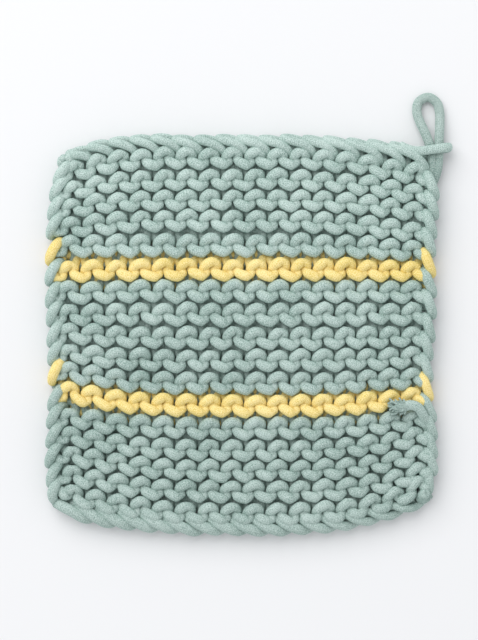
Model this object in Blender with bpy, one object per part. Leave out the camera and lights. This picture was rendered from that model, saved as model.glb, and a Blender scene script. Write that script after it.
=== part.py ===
"""A knitted pot holder: a garter-stitch square with two yellow ridges and a corner hanging loop.

The knit is one solid. Its face is laid out as cells, one for each length of cord that shows:
every garter ridge is a row of arches over a row of bowls, half a stitch along, and each cell is
drawn in, lifted and crowned into a rounded strand. A lattice gives every ridge and stitch its
place, so the square bows and leans as handmade knitting does.

Sizes here are in millimetres, with +Y towards the loop's end of the square and +Z up from the
surface that it lies on.
"""

import math

import bmesh
import bpy
import numpy as np

MM = 0.001

# ---- driving sizes, in millimetres -------------------------------------------------------------

THICKNESS = 13.0
GAP = 0.35
STITCHES = 16
RIDGES = 17
YELLOW_RIDGES = (6, 12)
HALF_SPAN = 86.0

# One row for each ridge, from the bound-off edge (ridge 0) to the cast-on edge (ridge 18): the
# height of its line at the middle, how far the line falls HALF_SPAN out to each side, and where
# the knit's left and right edges are. Above ridge 2 the notch table gives the right edge.
MIDDLE, LEFT_FALL, RIGHT_FALL, LEFT_EDGE, RIGHT_EDGE = range(5)
RIDGE_TABLE = (
    # middle, left_fall, right_fall, left_edge, right_edge
    (92.4, 6.2, 5.0, -95.8, 83.2),
    (80.6, 6.0, 9.4, -99.2, 91.6),
    (69.4, 4.9, 7.1, -101.5, 98.5),
    (59.0, 3.4, 6.4, -102.5, 98.0),
    (48.5, 2.7, 6.0, -103.2, 97.4),
    (36.2, 0.4, 3.0, -103.7, 96.6),
    (23.3, 0.9, 0.9, -104.3, 96.7),
    (12.5, 0.5, 0.5, -104.3, 97.3),
    (0.5, 0.4, -0.4, -103.9, 97.2),
    (-11.9, -2.4, -0.6, -103.3, 96.2),
    (-23.3, -2.7, -2.3, -103.3, 95.5),
    (-35.0, -5.0, -2.9, -102.9, 95.3),
    (-46.5, -6.1, -4.3, -102.9, 95.5),
    (-58.2, -4.5, -5.0, -103.2, 97.2),
    (-69.6, -6.9, -6.9, -103.8, 97.7),
    (-80.0, -7.3, -8.0, -104.3, 97.7),
    (-90.7, -7.8, -9.4, -104.3, 98.0),
    (-102.1, -9.1, -10.5, -103.0, 95.4),
    (-113.5, -7.0, -13.0, -97.6, 91.0),
)

# The knit's right edge beside the loop, where a notch in the corner takes the loop's legs.
NOTCH_TABLE = (
    # ridge, right_edge
    (0.00, 83.2),
    (0.60, 83.2),
    (0.75, 91.6),
    (1.22, 91.6),
    (1.36, 97.6),
    (2.00, 98.5),
)

# How sharply the ridges fall near their ends, at the top edge and at the bottom edge.
LEFT_FALL_POWER = (5.0, 2.2)
RIGHT_FALL_POWER = (2.5, 3.0)

# Where the first and the last full stitch stand on a few ridges, and how far the stitches
# between them are pushed to the right halfway along.
FIRST_STITCH, LAST_STITCH, PUSH = range(1, 4)
SPAN_TABLE = (
    # ridge, first_stitch, last_stitch, push
    (0.00, -86.0, 75.6, -0.8),
    (0.40, -89.2, 85.8, -0.8),
    (6.00, -92.5, 83.8, 2.6),
    (12.0, -92.1, 83.6, 2.0),
    (17.0, -89.8, 87.0, -1.5),
    (18.0, -87.0, 81.0, -1.0),
)

# The knit's pattern of cells. A seam runs between a ridge's arches and its bowls, and a valley
# below its bowls. Both are waves, given as levels counted in ridges from the ridge's line.
SEAM_LEVELS = (-0.02, 0.19)
VALLEY_LEVELS = (0.43, 0.66)
LEFT_EDGE_LEVEL = 0.0
RIGHT_EDGE_LEVEL = 0.3
NOTCH_CORNER = (83.2, 81.4)

# Heights above the surface: of the lines between the strands, and of the strands' tops.
SEAM_HEIGHT = 9.4
VALLEY_HEIGHT = 7.2
BORDER_HEIGHT = 8.0
SHOULDER_DROP = 0.7
END_DROP = 1.5
STRAND_INSET = 1.15

UNEVENNESS = 0.25
SCALLOP = 1.0
RIM_HEIGHTS = (5.0, 0.0)
RIM_OUTSETS = (0.6, -1.6)

# The hanging loop's cord, and the points on its middle line: height is above the surface.
LOOP_WIDTH = 4.8
LOOP_THICKNESS = 4.6
LOOP_SIDES = 12
LOOP_ROUTE = (
    # across, along, height
    (95.1, 69.3, 6.3),
    (95.0, 79.5, 6.2),
    (93.5, 86.4, 6.1),
    (91.4, 93.0, 5.2),
    (88.7, 99.1, 3.9),
    (87.2, 104.6, 2.9),
    (88.3, 109.6, 2.4),
    (93.2, 111.9, 2.35),
    (97.6, 109.0, 2.4),
    (99.0, 103.7, 2.9),
    (98.9, 96.9, 4.2),
    (98.4, 88.6, 5.8),
    (98.6, 80.9, 6.2),
    (99.1, 67.8, 6.3),
)
LOOP_SLIT_AT = 97.0
LOOP_SLIT_TOP = 97.0

# The band wrapped round the loop's legs: a flattened ring whose middle line is a stadium.
BAND_LEFT = (85.9, 83.7)
BAND_RIGHT = (103.3, 85.6)
BAND_WIDTH = 4.5
BAND_THICKNESS = 3.2
BAND_HEIGHT = 12.0
BAND_SIDES = 10

GREEN = (0.35, 0.45, 0.41)
YELLOW = (0.80, 0.64, 0.25)


# ---- the knit's lattice --------------------------------------------------------------------------

def ridge_value(column, ridge):
    """Read one column of the ridge table at any ridge, with straight lines between its rows."""
    values = [row[column] for row in RIDGE_TABLE]
    return np.interp(ridge, range(len(values)), values)


def right_edge(ridge):
    """Find the knit's right edge, which steps in twice at the loop's corner."""
    levels, edges = zip(*NOTCH_TABLE)
    beside_loop = np.interp(ridge, levels, edges)
    return np.where(ridge < levels[-1], beside_loop, ridge_value(RIGHT_EDGE, ridge))


def span_value(column, ridge):
    """Read one column of the span table at any ridge."""
    return np.interp(ridge, [row[0] for row in SPAN_TABLE], [row[column] for row in SPAN_TABLE])


def stitch_x(stitch, ridge):
    """Place a full stitch across: evenly between the first and the last, with the middle pushed."""
    share = stitch / (STITCHES - 1)
    first = span_value(FIRST_STITCH, ridge)
    last = span_value(LAST_STITCH, ridge)
    push = span_value(PUSH, ridge)
    return first + (last - first) * share + push * np.sin(math.pi * share)


def lattice(stitch, ridge):
    """Turn stitch and ridge counts into x and y.

    Full stitches are centred on 0 to 15. From -0.5 to -1 and from 15.5 to 16 the count runs over
    the edge stitch, out to the knit's left and right edge.
    """
    ridge = np.clip(ridge, 0, RIDGES + 1)
    inner = np.clip(stitch, -0.5, STITCHES - 0.5)
    x = stitch_x(inner, ridge)
    left_share = np.clip(-0.5 - stitch, 0, 0.5) / 0.5
    right_share = np.clip(stitch - (STITCHES - 0.5), 0, 0.5) / 0.5
    x = x + (ridge_value(LEFT_EDGE, ridge) - x) * left_share
    x = x + (right_edge(ridge) - x) * right_share

    down = ridge / (RIDGES + 1)
    power_left = LEFT_FALL_POWER[0] + (LEFT_FALL_POWER[1] - LEFT_FALL_POWER[0]) * down
    power_right = RIGHT_FALL_POWER[0] + (RIGHT_FALL_POWER[1] - RIGHT_FALL_POWER[0]) * down
    outward = np.abs(x) / HALF_SPAN
    fall_left = ridge_value(LEFT_FALL, ridge) * outward ** power_left
    fall_right = ridge_value(RIGHT_FALL, ridge) * outward ** power_right
    return x, ridge_value(MIDDLE, ridge) - np.where(x < 0, fall_left, fall_right)


# ---- the knit panel ------------------------------------------------------------------------------

class Knit:
    """The knit while it is built: a mesh, the points on its lines, and one face for each strand."""

    def __init__(self):
        self.mesh = bmesh.new()
        self.random = np.random.default_rng(17)
        self.strands = []
        self.top = self.line(0.0, 0.0, BORDER_HEIGHT)
        self.seams = [None]
        self.valleys = [self.line(*VALLEY_LEVELS, VALLEY_HEIGHT)]
        for ridge in range(1, RIDGES + 1):
            self.seams.append(self.line(*(ridge + level for level in SEAM_LEVELS), SEAM_HEIGHT))
            self.valleys.append(self.line(*(ridge + level for level in VALLEY_LEVELS), VALLEY_HEIGHT))
        self.bottom = self.line(RIDGES + 1, RIDGES + 1, BORDER_HEIGHT)

    def point(self, x, y, height):
        """Add one point, a little off its place as handmade knitting is."""
        jitter = self.random.uniform(-UNEVENNESS, UNEVENNESS, 2)
        return self.mesh.verts.new(((x + jitter[0]) * MM, (y + jitter[1]) * MM, height * MM))

    def line(self, level_at_arch, level_between, height):
        """Add a wave of points, two to a stitch: first between stitches, then on an arch."""
        stitches = np.arange(2 * STITCHES + 1) / 2 - 0.5
        on_arch = np.arange(2 * STITCHES + 1) % 2 == 1
        x, y = lattice(stitches, np.where(on_arch, level_at_arch, level_between))
        return [self.point(*place, height) for place in zip(x, y)]

    def edge_points(self, stitch, level, ridges, inward=0.0):
        """Add one point to each of the named ridges on the left or the right edge."""
        points = {}
        for ridge in ridges:
            x, y = lattice(stitch, ridge + level)
            points[ridge] = self.point(x + inward, y, BORDER_HEIGHT)
        return points

    def strand(self, points, ridge=0):
        """Add the face that one strand covers, its points counter-clockwise from above."""
        face = self.mesh.faces.new(points)
        face.material_index = 1 if ridge in YELLOW_RIDGES else 0
        self.strands.append(face)


def add_ridge(knit, ridge):
    """Add one ridge: an arch to every stitch, and bowls half a stitch along, cut at the ends."""
    above = knit.valleys[ridge - 1]
    seam = knit.seams[ridge]
    below = knit.valleys[ridge]
    for left in range(0, 2 * STITCHES, 2):
        middle, right = left + 1, left + 2
        knit.strand((above[left], seam[left], seam[middle],
                     seam[right], above[right], above[middle]), ridge)
    for left in range(1, 2 * STITCHES - 2, 2):
        middle, right = left + 1, left + 2
        knit.strand((seam[left], below[left], below[middle],
                     below[right], seam[right], seam[middle]), ridge)
    knit.strand((seam[0], below[0], below[1], seam[1]), ridge)
    knit.strand((seam[-2], below[-2], below[-1], seam[-1]), ridge)


def add_bind_off(knit, notch, corner):
    """Add the chain of bound-off stitches, whose last link stops at the loop's notch."""
    top = knit.top
    valley = knit.valleys[0]
    for left in range(0, 2 * STITCHES - 2, 2):
        middle, right = left + 1, left + 2
        knit.strand((top[left], valley[left], valley[middle],
                     valley[right], top[right], top[middle]))
    knit.strand((top[-3], valley[-3], valley[-2], notch, corner, top[-1], top[-2]))


def add_cast_on(knit, corners, ends_right):
    """Add the cast-on rope, whose strands slant down to the right."""
    valley = knit.valleys[-1]
    bottom = knit.bottom
    knit.strand((valley[0], corners[0], bottom[0], bottom[1]))
    for left in range(0, 2 * STITCHES - 2, 2):
        middle, right = left + 1, left + 2
        knit.strand((valley[left], bottom[middle], bottom[right], bottom[right + 1],
                     valley[right], valley[middle]))
    knit.strand((valley[-3], bottom[-2], bottom[-1], corners[1], ends_right[RIDGES],
                 knit.seams[-1][-1], valley[-1], valley[-2]))


def add_left_edge(knit, corners, ends, bulges):
    """Add the left edge's strands, which run down and out from between two ridges."""
    knit.strand((knit.top[0], corners[0], bulges[1], ends[1], knit.valleys[0][0]))
    ends = {**ends, RIDGES + 1: corners[1]}
    for ridge in range(2, RIDGES + 2):
        knit.strand((knit.valleys[ridge - 2][0], ends[ridge - 1], bulges[ridge], ends[ridge],
                     knit.valleys[ridge - 1][0], knit.seams[ridge - 1][0]), ridge)


def add_right_edge(knit, ends, bulges):
    """Add the right edge's strands, from the second ridge down."""
    for ridge in range(2, RIDGES + 1):
        knit.strand((knit.seams[ridge - 1][-1], knit.valleys[ridge - 1][-1],
                     knit.seams[ridge][-1], ends[ridge], bulges[ridge], ends[ridge - 1]), ridge)


def raise_strands(knit):
    """Round every strand: draw its face in, lift the smaller face, and crown it.

    A top falls from its middle to its ends as the square of the distance along the strand.
    """
    knit.mesh.normal_update()
    bmesh.ops.inset_individual(knit.mesh, faces=knit.strands, thickness=STRAND_INSET * MM,
                               use_even_offset=True)
    for strand in knit.strands:
        centre = strand.calc_center_median()
        reach = max(abs(corner.co.x - centre.x) for corner in strand.verts)
        height = THICKNESS - SHOULDER_DROP - knit.random.uniform(0, UNEVENNESS)
        for corner in strand.verts:
            share = (corner.co.x - centre.x) / reach
            corner.co.z = (height - END_DROP * share ** 2) * MM
    crowns = bmesh.ops.poke(knit.mesh, faces=knit.strands, center_mode="MEAN_WEIGHTED")["verts"]
    for crown in crowns:
        crown.co.z = THICKNESS * MM


def outward_step(border):
    """Work out the outward direction at each border point, from the points before and after it."""
    along = np.roll(border, -1, axis=0) - np.roll(border, 1, axis=0)
    return unit(np.stack((-along[:, 1], along[:, 0]), axis=-1))


def close_underside(knit, border):
    """Carry the border down over the rounded rim to the flat underside."""
    border_xy = np.array([point.co[:2] for point in border]) / MM
    outward = outward_step(border_xy)
    above = border
    for height, outset in zip(RIM_HEIGHTS, RIM_OUTSETS):
        ring_xy = border_xy + outward * outset
        ring = [knit.mesh.verts.new((x * MM, y * MM, height * MM)) for x, y in ring_xy]
        for here in range(len(ring)):
            after = (here + 1) % len(ring)
            knit.mesh.faces.new((above[here], above[after], ring[after], ring[here]))
        above = ring
    knit.mesh.faces.new(above)


def build_knit_panel():
    """Lay out the strands, close the rim and the underside, and raise the strands."""
    knit = Knit()
    (top_left, top_right), (bottom_left, bottom_right) = (
        [knit.point(*lattice(stitch, level), BORDER_HEIGHT) for stitch in (-1, STITCHES)]
        for level in (0, RIDGES + 1))
    notch = knit.point(*NOTCH_CORNER, BORDER_HEIGHT)
    last = RIDGES + 1
    left_ends = knit.edge_points(-1, LEFT_EDGE_LEVEL, range(1, last), SCALLOP)
    left_bulges = knit.edge_points(-1, LEFT_EDGE_LEVEL - 0.5, range(1, last + 1))
    right_ends = knit.edge_points(STITCHES, RIGHT_EDGE_LEVEL, range(1, last), -SCALLOP)
    right_bulges = knit.edge_points(STITCHES, RIGHT_EDGE_LEVEL - 0.5, range(2, last))

    add_bind_off(knit, notch, top_right)
    for ridge in range(1, last):
        add_ridge(knit, ridge)
    add_left_edge(knit, (top_left, bottom_left), left_ends, left_bulges)
    add_right_edge(knit, right_ends, right_bulges)
    add_cast_on(knit, (bottom_left, bottom_right), right_ends)

    border = [top_left, *knit.top, top_right, notch, *knit.valleys[0][-2:],
              knit.seams[1][-1], right_ends[1]]
    for ridge in range(2, last):
        border += [right_bulges[ridge], right_ends[ridge]]
    border += [bottom_right, *reversed(knit.bottom), bottom_left, left_bulges[last]]
    for ridge in range(RIDGES, 0, -1):
        border += [left_ends[ridge], left_bulges[ridge]]
    close_underside(knit, border)
    raise_strands(knit)
    return mesh_object("knit_panel", knit.mesh)


# ---- the hanging loop and its band ---------------------------------------------------------------

def smooth_route(route, steps):
    """Carry a Catmull-Rom curve through the route's points, with even steps between them."""
    route = np.array(route)
    before = 2 * route[0] - route[1]
    after = 2 * route[-1] - route[-2]
    points = np.vstack((before, route, after))
    curve = []
    for index in range(1, len(points) - 2):
        p0, p1, p2, p3 = points[index - 1:index + 3]
        t = np.arange(steps)[:, None] / steps
        bend = 2 * p0 - 5 * p1 + 4 * p2 - p3
        twist = 3 * p1 - p0 - 3 * p2 + p3
        curve.append(0.5 * (2 * p1 + (p2 - p0) * t + bend * t ** 2 + twist * t ** 3))
    curve.append(route[-1:])
    return np.vstack(curve)


def unit(vectors):
    """Scale every vector of an array to length one."""
    return vectors / np.linalg.norm(vectors, axis=-1, keepdims=True)


def oval_sections(path, along, sideways, width, thickness, sides):
    """Put an oval on every point of a path: its width runs sideways, its thickness square to it."""
    angle = (np.arange(sides) * 2 * math.pi / sides)[None, :, None]
    upward = np.cross(sideways, along)
    across = np.cos(angle) * sideways[:, None, :] * width / 2
    rise = np.sin(angle) * upward[:, None, :] * thickness / 2
    return path[:, None, :] + across + rise


def skin_sections(sections, closed):
    """Join a list of point rings into one closed skin."""
    mesh = bmesh.new()
    rings = [[mesh.verts.new(point * MM) for point in section] for section in sections]
    count = len(rings)
    for index in range(count if closed else count - 1):
        here = rings[index]
        there = rings[(index + 1) % count]
        for side in range(len(here)):
            after = (side + 1) % len(here)
            mesh.faces.new((here[side], here[after], there[after], there[side]))
    if not closed:
        mesh.faces.new(rings[0])
        mesh.faces.new(rings[-1])
    return mesh


def build_hanging_loop():
    """Sweep the cord round its route. Each leg is flattened where the two press together."""
    path = smooth_route(LOOP_ROUTE, 3)
    along = unit(np.gradient(path, axis=0))
    sideways = unit(np.cross(along, (0.0, 0.0, 1.0)))
    sections = oval_sections(path, along, sideways, LOOP_WIDTH, LOOP_THICKNESS, LOOP_SIDES)

    half = len(path) // 2
    straight = sections[:, :, 1] < LOOP_SLIT_TOP
    left_leg = np.arange(len(path))[:, None] < half
    left_limit = LOOP_SLIT_AT - GAP / 2
    right_limit = LOOP_SLIT_AT + GAP / 2
    x = sections[:, :, 0]
    x = np.where(straight & left_leg, np.minimum(x, left_limit), x)
    x = np.where(straight & ~left_leg, np.maximum(x, right_limit), x)
    sections[:, :, 0] = x
    return mesh_object("hanging_loop", skin_sections(sections, False))


def build_loop_band():
    """Sweep a flattened strand round a stadium that stands across the loop's two legs."""
    left = np.array(BAND_LEFT)
    right = np.array(BAND_RIGHT)
    length = np.linalg.norm(right - left)
    heading = (right - left) / length
    end_radius = (BAND_HEIGHT - BAND_THICKNESS) / 2
    middle_height = BAND_HEIGHT / 2
    turn = np.linspace(-math.pi / 2, math.pi / 2, 9)
    flat = np.linspace(0, 1, 5)[1:-1]
    right_end = length - end_radius
    distance = np.concatenate((right_end + end_radius * np.cos(turn),
                               right_end - flat * (right_end - end_radius),
                               end_radius - end_radius * np.cos(turn),
                               end_radius + flat * (right_end - end_radius)))
    height = np.concatenate((end_radius * np.sin(turn), end_radius + 0 * flat,
                             -end_radius * np.sin(turn), -end_radius + 0 * flat))
    path = np.stack((left[0] + heading[0] * distance, left[1] + heading[1] * distance,
                     middle_height + height), axis=-1)

    along = unit(np.roll(path, -1, axis=0) - np.roll(path, 1, axis=0))
    sideways = np.tile((-heading[1], heading[0], 0.0), (len(path), 1))
    sections = oval_sections(path, along, sideways, BAND_WIDTH, BAND_THICKNESS, BAND_SIDES)
    return mesh_object("loop_band", skin_sections(sections, True))


# ---- objects and materials -----------------------------------------------------------------------

def mesh_object(name, mesh):
    """Turn a finished bmesh into an object whose faces point outwards."""
    bmesh.ops.recalc_face_normals(mesh, faces=mesh.faces)
    data = bpy.data.meshes.new(name)
    mesh.to_mesh(data)
    mesh.free()
    data.shade_smooth()
    data.set_sharp_from_angle(angle=math.radians(60))
    thing = bpy.data.objects.new(name, data)
    bpy.context.scene.collection.objects.link(thing)
    return thing


def cotton(name, colour):
    """Matt cotton cord of one colour."""
    material = bpy.data.materials.new(name)
    material.use_nodes = True
    shader = material.node_tree.nodes["Principled BSDF"]
    shader.inputs["Base Color"].default_value = (*colour, 1.0)
    shader.inputs["Roughness"].default_value = 0.9
    shader.inputs["Metallic"].default_value = 0.0
    return material


def main():
    for thing in list(bpy.data.objects):
        bpy.data.objects.remove(thing, do_unlink=True)
    green = cotton("green_cotton", GREEN)
    yellow = cotton("yellow_cotton", YELLOW)
    panel = build_knit_panel()
    panel.data.materials.append(green)
    panel.data.materials.append(yellow)
    for thing in (build_hanging_loop(), build_loop_band()):
        thing.data.materials.append(green)


main()
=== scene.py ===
"""A garter-stitch pot holder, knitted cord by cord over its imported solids.

Every row of the knit is one cord that runs through all its loops, as the real one does: the heads
of a row and the sinkers of the next make a ridge on the face, and the other halves of the same
loops make the ridges underneath. A lattice places ridges and stitches, so the square bows and
leans as handmade knitting does. Tables are in millimetres or in cord diameters, as they say.
"""

import math

import bpy
import numpy as np
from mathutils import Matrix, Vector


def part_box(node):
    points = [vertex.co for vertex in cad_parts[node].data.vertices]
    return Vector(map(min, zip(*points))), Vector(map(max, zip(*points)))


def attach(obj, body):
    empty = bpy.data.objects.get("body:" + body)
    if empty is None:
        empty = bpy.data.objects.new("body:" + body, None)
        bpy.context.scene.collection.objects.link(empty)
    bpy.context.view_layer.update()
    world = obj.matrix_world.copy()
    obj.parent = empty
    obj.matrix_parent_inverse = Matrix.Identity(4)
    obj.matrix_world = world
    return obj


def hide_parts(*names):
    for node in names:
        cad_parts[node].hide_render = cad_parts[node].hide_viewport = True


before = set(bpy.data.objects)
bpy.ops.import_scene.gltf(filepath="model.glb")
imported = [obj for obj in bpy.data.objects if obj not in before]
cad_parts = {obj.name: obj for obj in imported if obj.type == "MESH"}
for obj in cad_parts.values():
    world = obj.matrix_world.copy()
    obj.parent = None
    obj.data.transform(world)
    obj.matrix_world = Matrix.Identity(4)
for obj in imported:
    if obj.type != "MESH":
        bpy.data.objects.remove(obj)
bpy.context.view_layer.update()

bl_info = {
    "name": "Knitted Pot Holder",
    "version": (1, 0, 0),
    "blender": (4, 5, 0),
    "location": "View3D > Sidebar > Pot Holder",
    "description": "Knits a garter-stitch pot holder with stripes and a hanging loop",
    "category": "Add Mesh",
}

MM = 0.001
TURN = 2 * math.pi
KNIT_LOW, KNIT_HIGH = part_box("knit_panel")
KNIT_THICKNESS = KNIT_HIGH[2] - KNIT_LOW[2]
CORDS_THICK = 2.7
# How tightly a cord bends at its full width, as its half width over the bend's radius. Straighter
# than the slightest bend, it counts as that.
TIGHTEST_BEND = 0.9
SLIGHTEST_BEND = 0.01

# ---- the knit's lattice, as in the solids --------------------------------------------------------

STITCHES = 16
RIDGES = 17
HALF_STITCH = 0.5
# How far out from the middle a ridge has fallen by its whole fall, and where it falls no further.
HALF_SPAN = 86.0
FALL_REACH = 90.0
GREEN_BANDS = ((1, 5), (7, 11), (13, 17))
YELLOW_BANDS = ((6, 6), (12, 12))

# One row for each ridge, from the bound-off edge (ridge 0) to the cast-on edge (ridge 18): the
# height of its line at the middle, how far the line falls HALF_SPAN out to each side, and where
# the knit's left and right edges are. Above NOTCH_END the notch table gives the right edge.
MIDDLE, LEFT_FALL, RIGHT_FALL, LEFT_EDGE, RIGHT_EDGE = range(5)
RIDGE_TABLE = (
    # middle, left_fall, right_fall, left_edge, right_edge
    (92.4, 6.2, 5.0, -95.8, 83.2),
    (80.6, 6.0, 9.4, -99.2, 91.6),
    (69.4, 4.9, 7.1, -101.5, 98.5),
    (59.0, 3.4, 6.4, -102.5, 98.0),
    (48.5, 2.7, 6.0, -103.2, 97.4),
    (36.2, 0.4, 3.0, -103.7, 96.6),
    (23.3, 0.9, 0.9, -104.3, 96.7),
    (12.5, 0.5, 0.5, -104.3, 97.3),
    (0.5, 0.4, -0.4, -103.9, 97.2),
    (-11.9, -2.4, -0.6, -103.3, 96.2),
    (-23.3, -2.7, -2.3, -103.3, 95.5),
    (-35.0, -5.0, -2.9, -102.9, 95.3),
    (-46.5, -6.1, -4.3, -102.9, 95.5),
    (-58.2, -4.5, -5.0, -103.2, 97.2),
    (-69.6, -6.9, -6.9, -103.8, 97.7),
    (-80.0, -7.3, -8.0, -104.3, 97.7),
    (-90.7, -7.8, -9.4, -104.3, 98.0),
    (-102.1, -9.1, -10.5, -103.0, 95.4),
    (-113.5, -7.0, -13.0, -97.6, 91.0),
)

# The knit's right edge beside the loop, where a notch in the corner takes the loop's legs, and the
# ridge that it reaches down to.
NOTCH_END = 2.0
NOTCH_TABLE = (
    # ridge, right_edge
    (0.00, 83.2),
    (0.60, 83.2),
    (0.75, 91.6),
    (1.22, 91.6),
    (1.36, 97.6),
    (NOTCH_END, 98.5),
)

# How sharply the ridges fall near their ends, at the top edge and at the bottom edge.
LEFT_FALL_POWER = (5.0, 2.2)
RIGHT_FALL_POWER = (2.5, 3.0)

# Where the first and the last full stitch stand on a few ridges, and how far the stitches
# between them are pushed to the right halfway along.
FIRST_STITCH, LAST_STITCH, PUSH = range(1, 4)
SPAN_TABLE = (
    # ridge, first_stitch, last_stitch, push
    (0.00, -86.0, 75.6, -0.8),
    (0.40, -89.2, 85.8, -0.8),
    (6.00, -92.5, 83.8, 2.6),
    (12.0, -92.1, 83.6, 2.0),
    (17.0, -89.8, 87.0, -1.5),
    (18.0, -87.0, 81.0, -1.0),
)

# ---- the rows' ends and corners ------------------------------------------------------------------

# Past the last loops that show, a row dives to the knit's middle and runs out under the edge
# links. All in stitches, but for the height, in cord diameters.
LEFT_DIVE = -0.38
RIGHT_DIVE = (
    # ridge, stitch
    (4, 15.52),
    (12, 15.70),
)
DIVE_LENGTH = 0.42
DIVE_HEIGHT = -0.15

# How much less the loops reach out to their sides at a row's first stitch and at both its ends,
# over the last part of a stitch.
FIRST_NARROWING = 0.2
END_NARROWING = 0.7
NARROW_LENGTH = 0.25

# How much of the swell is added to the cord on the faces. The rest is taken off its legs.
FACE_SWELL = 0.6

# How far the last ridge is drawn up in its left and right corners, in ridges, and where the draw
# begins and is full, in stitches.
LEFT_CORNER_LIFT = 0.35
LEFT_CORNER = (-0.1, -0.5)
RIGHT_CORNER_LIFT = 0.32
RIGHT_CORNER = (11.5, 15.0)

# How much the loops differ at an unevenness of 1, in stitches, ridges or shares of what varies.
UNEVEN_OVERHANG = 0.03
UNEVEN_ACROSS = 0.035
UNEVEN_RISE = 0.06
UNEVEN_LEAN = 0.03
UNEVEN_ALONG = 0.03
UNEVEN_DEPTH = 0.10
UNEVEN_SWELL = 0.04
UNEVEN_LINK = 0.05
UNEVEN_STRAND = 0.04

# What the random draws start from: a band's number is added to its colour's.
GREEN_SEED = 100
YELLOW_SEED = 200
FRAY_SEED = 31

# ---- the single strands --------------------------------------------------------------------------

# An edge link rides round the knit's edge like a clip: its front leg runs down and out from
# between two ridges, bends round the edge, and runs up and in behind. All in cord diameters: the
# inset from the edge, the way up from the link's ridge, and the height from the knit's middle.
LEFT_LINK = (
    # inset, up, height
    (1.80, 2.95, -0.45),
    (1.58, 3.12, 0.05),
    (1.32, 2.98, 0.58),
    (1.03, 2.58, 0.95),
    (0.77, 2.08, 1.04),
    (0.57, 1.60, 0.88),
    (0.46, 1.20, 0.54),
    (0.42, 0.94, 0.08),
    (0.50, 0.98, -0.40),
    (0.74, 1.38, -0.72),
    (1.08, 1.92, -0.80),
    (1.48, 2.40, -0.45),
)
RIGHT_LINK = (
    # inset, up, height
    (1.66, 1.78, -0.55),
    (1.50, 2.06, -0.05),
    (1.34, 2.02, 0.52),
    (1.17, 1.66, 0.92),
    (0.96, 1.14, 1.04),
    (0.74, 0.58, 0.92),
    (0.52, 0.06, 0.62),
    (0.41, -0.32, 0.12),
    (0.46, -0.30, -0.42),
    (0.72, 0.06, -0.76),
    (1.10, 0.70, -0.82),
    (1.50, 1.25, -0.50),
)
# How thick a link is in the knit, in cords, and how much is added where it stands free of it.
LINK_WIDTH = 0.94
LINK_SWELL = 0.16
# Which way a link's rings are held as they are swept round the edge: out, and up.
LINK_FACING = (0.92, 0.39)

# The link that closes the left edge at the cast-on corner, in ridges.
LAST_LINK = 17.6

# How far the right links reach inwards, as a share of their table's insets past half a cord. A
# link that reaches less also lies lower on the face, by so many cords if it lacked all its reach.
HALF_CORD = 0.5
LINK_LOWERING = 1.3
LINK_REACH = (
    # ridge, share
    (2.0, 1.00),
    (6.0, 1.00),
    (12.0, 0.86),
    (17.0, 0.80),
)

# A link of the bound-off chain: out from between two heads of ridge 1, left along the face,
# round over the top edge and back behind. Across is in stitches, level in ridges, and height in
# cords from the knit's middle, as the rope's is.
CHAIN_LINK = (
    # across, level, height
    (0.40, 0.88, -0.50),
    (0.45, 0.76, 0.05),
    (0.36, 0.61, 0.56),
    (0.10, 0.46, 0.86),
    (-0.22, 0.34, 0.86),
    (-0.54, 0.25, 0.56),
    (-0.72, 0.22, 0.10),
    (-0.56, 0.15, -0.22),
    (-0.22, 0.14, -0.42),
    (0.12, 0.22, -0.62),
    (0.38, 0.42, -0.74),
    (0.46, 0.68, -0.62),
)
# How thick the chain is, in cords, how far its first link is pushed to the right, less with each
# link after it, and how far left its links may reach, in stitches.
CHAIN_WIDTH = 0.90
CHAIN_DRIFT = 0.25
CHAIN_LEFT = -0.6

# A strand of the cast-on rope: out from under the last sinkers, down to the right, round under
# the bottom edge and back up behind.
ROPE_STRAND = (
    # across, level, height
    (-0.20, 17.42, -0.55),
    (0.02, 17.34, -0.15),
    (0.22, 17.38, 0.22),
    (0.42, 17.50, 0.45),
    (0.66, 17.62, 0.52),
    (0.92, 17.73, 0.46),
    (1.16, 17.82, 0.24),
    (1.36, 17.86, -0.10),
    (1.54, 17.82, -0.44),
    (1.74, 17.70, -0.66),
    (1.96, 17.52, -0.71),
    (2.14, 17.40, -0.60),
)
# Where the rope's strands start, how far left they may reach, in stitches, and how thick they
# are, in cords.
ROPE_STARTS = range(-1, STITCHES - 1)
ROPE_LEFT = -0.8
ROPE_WIDTHS = (
    # start, width
    (0, 1.20),
    (9, 1.16),
    (14, 0.85),
)

# Rings between two points of the short strands' routes.
STRAND_STEPS = 8

# The cut end of the cast-on, which stands up out of the bottom right corner.
CORNER_END = (
    # across, along, height
    (88.8, -94.9, 5.4),
    (89.8, -93.4, 8.2),
    (90.6, -92.2, 10.8),
    (91.0, -91.5, 12.7),
)
CORNER_END_WIDTH = 5.8
CORNER_END_ROUNDING = 8
CORNER_END_TIP = 0.02

# The hanging loop's middle line, from the knit round and back.
LOOP_ROUTE = (
    # across, along, height
    (92.9, 65.4, 3.0),
    (94.2, 70.4, 5.6),
    (94.9, 77.5, 6.5),
    (94.0, 85.4, 6.3),
    (91.4, 93.0, 5.2),
    (88.7, 99.1, 3.9),
    (87.2, 104.6, 2.9),
    (88.3, 109.6, 2.4),
    (93.2, 111.9, 2.35),
    (97.6, 109.0, 2.4),
    (99.0, 103.7, 2.9),
    (98.9, 96.9, 4.2),
    (98.4, 88.6, 5.8),
    (98.2, 80.9, 6.3),
    (97.5, 74.2, 6.2),
    (95.9, 69.2, 5.0),
    (93.9, 65.6, 3.2),
)
LOOP_WIDTH = 4.8
LOOP_THICKNESS = 4.6
# How far the loop's cord is darkened with painted shade, as a share of how far the inside of the
# knit is.
LOOP_PAINTED_SHADE = 0.6
LOOP_STEPS = 10

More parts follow.
